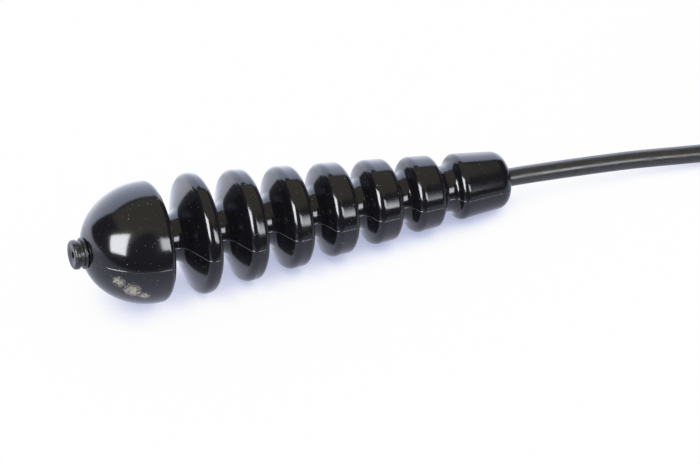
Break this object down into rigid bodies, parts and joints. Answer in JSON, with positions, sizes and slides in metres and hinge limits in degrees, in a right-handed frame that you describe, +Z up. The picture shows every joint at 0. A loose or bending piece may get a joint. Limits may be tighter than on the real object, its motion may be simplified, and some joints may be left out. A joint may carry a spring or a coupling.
{
  "type": "air shutter release",
  "caption": "Squeeze-bellows air release with a domed thumb end, ringed tapering handle, thin hose in a tied hank and a piston end that screws into a camera's release socket.",
  "frame": {"origin": "centre of the handle's footprint on the surface it lies on, measured without the hose and what is on it", "axes": "+X along the handle from the dome towards the hose, +Z up"},
  "size_m": [0.2672, 0.0448, 0.0338],
  "materials": {
    "bellows": "very glossy soft moulding, black",
    "valve_rubber": "matt, worn dark grey",
    "valve_metal": "plain metal",
    "hose_skin": "satin black",
    "tie_strap": "black hook-and-loop strap",
    "plated": "bright plating on brass",
    "bare_brass": "turned brass",
    "seal_rubber": "black seal rubber",
    "spring_wire": "spring wire"
  },
  "bodies": {
    "base": {"bellows_tail": "bellows", "bellows_neck_7": "bellows", "hose": "hose_skin", "hose_coil": "hose_skin", "hose_end": "hose_skin", "hose_tie": "tie_strap", "hose_ferrule": "plated", "end_cap": "plated", "cap_seal": "seal_rubber", "cylinder_tube": "plated", "front_bush": "plated", "collar_clip": "plated"},
    "dome": {"bellows_dome": "bellows", "valve_body": "valve_rubber", "valve_cage": "valve_metal"},
    "valve": {"valve_ball": "valve_metal"},
    "fold_1": {"bellows_fold_1": "bellows", "bellows_neck_1": "bellows"},
    "fold_2": {"bellows_fold_2": "bellows", "bellows_neck_2": "bellows"},
    "fold_3": {"bellows_fold_3": "bellows", "bellows_neck_3": "bellows"},
    "fold_4": {"bellows_fold_4": "bellows", "bellows_neck_4": "bellows"},
    "fold_5": {"bellows_fold_5": "bellows", "bellows_neck_5": "bellows"},
    "fold_6": {"bellows_fold_6": "bellows", "bellows_neck_6": "bellows"},
    "plunger": {"piston": "bare_brass", "piston_cup": "seal_rubber", "plunger_pin": "plated", "return_spring": "spring_wire"},
    "collar": {"knurled_collar": "plated", "threaded_tip": "bare_brass"}
  },
  "joints": [
    {"name": "bellows_press", "type": "slide", "parent": "base", "child": "dome", "axis": [0.9954, 0, -0.0956], "range_m": [0, 0.01525], "stiffness_N_per_m": 400},
    {"name": "fold_1_press", "type": "slide", "parent": "base", "child": "fold_1", "axis": [0.9954, 0, -0.0956], "range_m": [0, 0.0127], "deforming": ["bellows_neck_1"]},
    {"name": "fold_2_press", "type": "slide", "parent": "base", "child": "fold_2", "axis": [0.9954, 0, -0.0956], "range_m": [0, 0.01025], "deforming": ["bellows_neck_2"]},
    {"name": "fold_3_press", "type": "slide", "parent": "base", "child": "fold_3", "axis": [0.9954, 0, -0.0956], "range_m": [0, 0.00795], "deforming": ["bellows_neck_3"]},
    {"name": "fold_4_press", "type": "slide", "parent": "base", "child": "fold_4", "axis": [0.9954, 0, -0.0956], "range_m": [0, 0.0059], "deforming": ["bellows_neck_4"]},
    {"name": "fold_5_press", "type": "slide", "parent": "base", "child": "fold_5", "axis": [0.9954, 0, -0.0956], "range_m": [0, 0.00395], "deforming": ["bellows_neck_5"]},
    {"name": "fold_6_press", "type": "slide", "parent": "base", "child": "fold_6", "axis": [0.9954, 0, -0.0956], "range_m": [0, 0.0021], "deforming": ["bellows_neck_6", "bellows_neck_7"]},
    {"name": "plunger_travel", "type": "slide", "parent": "base", "child": "plunger", "axis": [1, 0, 0], "range_m": [0, 0.008], "deforming": ["return_spring"]},
    {"name": "collar_turn", "type": "hinge", "parent": "base", "child": "collar", "pos_m": [0.2017, -0.00038, 0.02832], "axis": [1, 0, 0], "continuous": true},
    {"name": "valve_lift", "type": "slide", "parent": "dome", "child": "valve", "axis": [0.9954, 0, -0.0956], "range_m": [0, 0.00045]}
  ],
  "couplings": [
    {"joint": "fold_1_press", "follows": "bellows_press", "ratio": 0.83279},
    {"joint": "fold_2_press", "follows": "bellows_press", "ratio": 0.67213},
    {"joint": "fold_3_press", "follows": "bellows_press", "ratio": 0.52131},
    {"joint": "fold_4_press", "follows": "bellows_press", "ratio": 0.38688},
    {"joint": "fold_5_press", "follows": "bellows_press", "ratio": 0.25902},
    {"joint": "fold_6_press", "follows": "bellows_press", "ratio": 0.1377},
    {"joint": "plunger_travel", "follows": "bellows_press", "ratio": 0.52459}
  ]
}
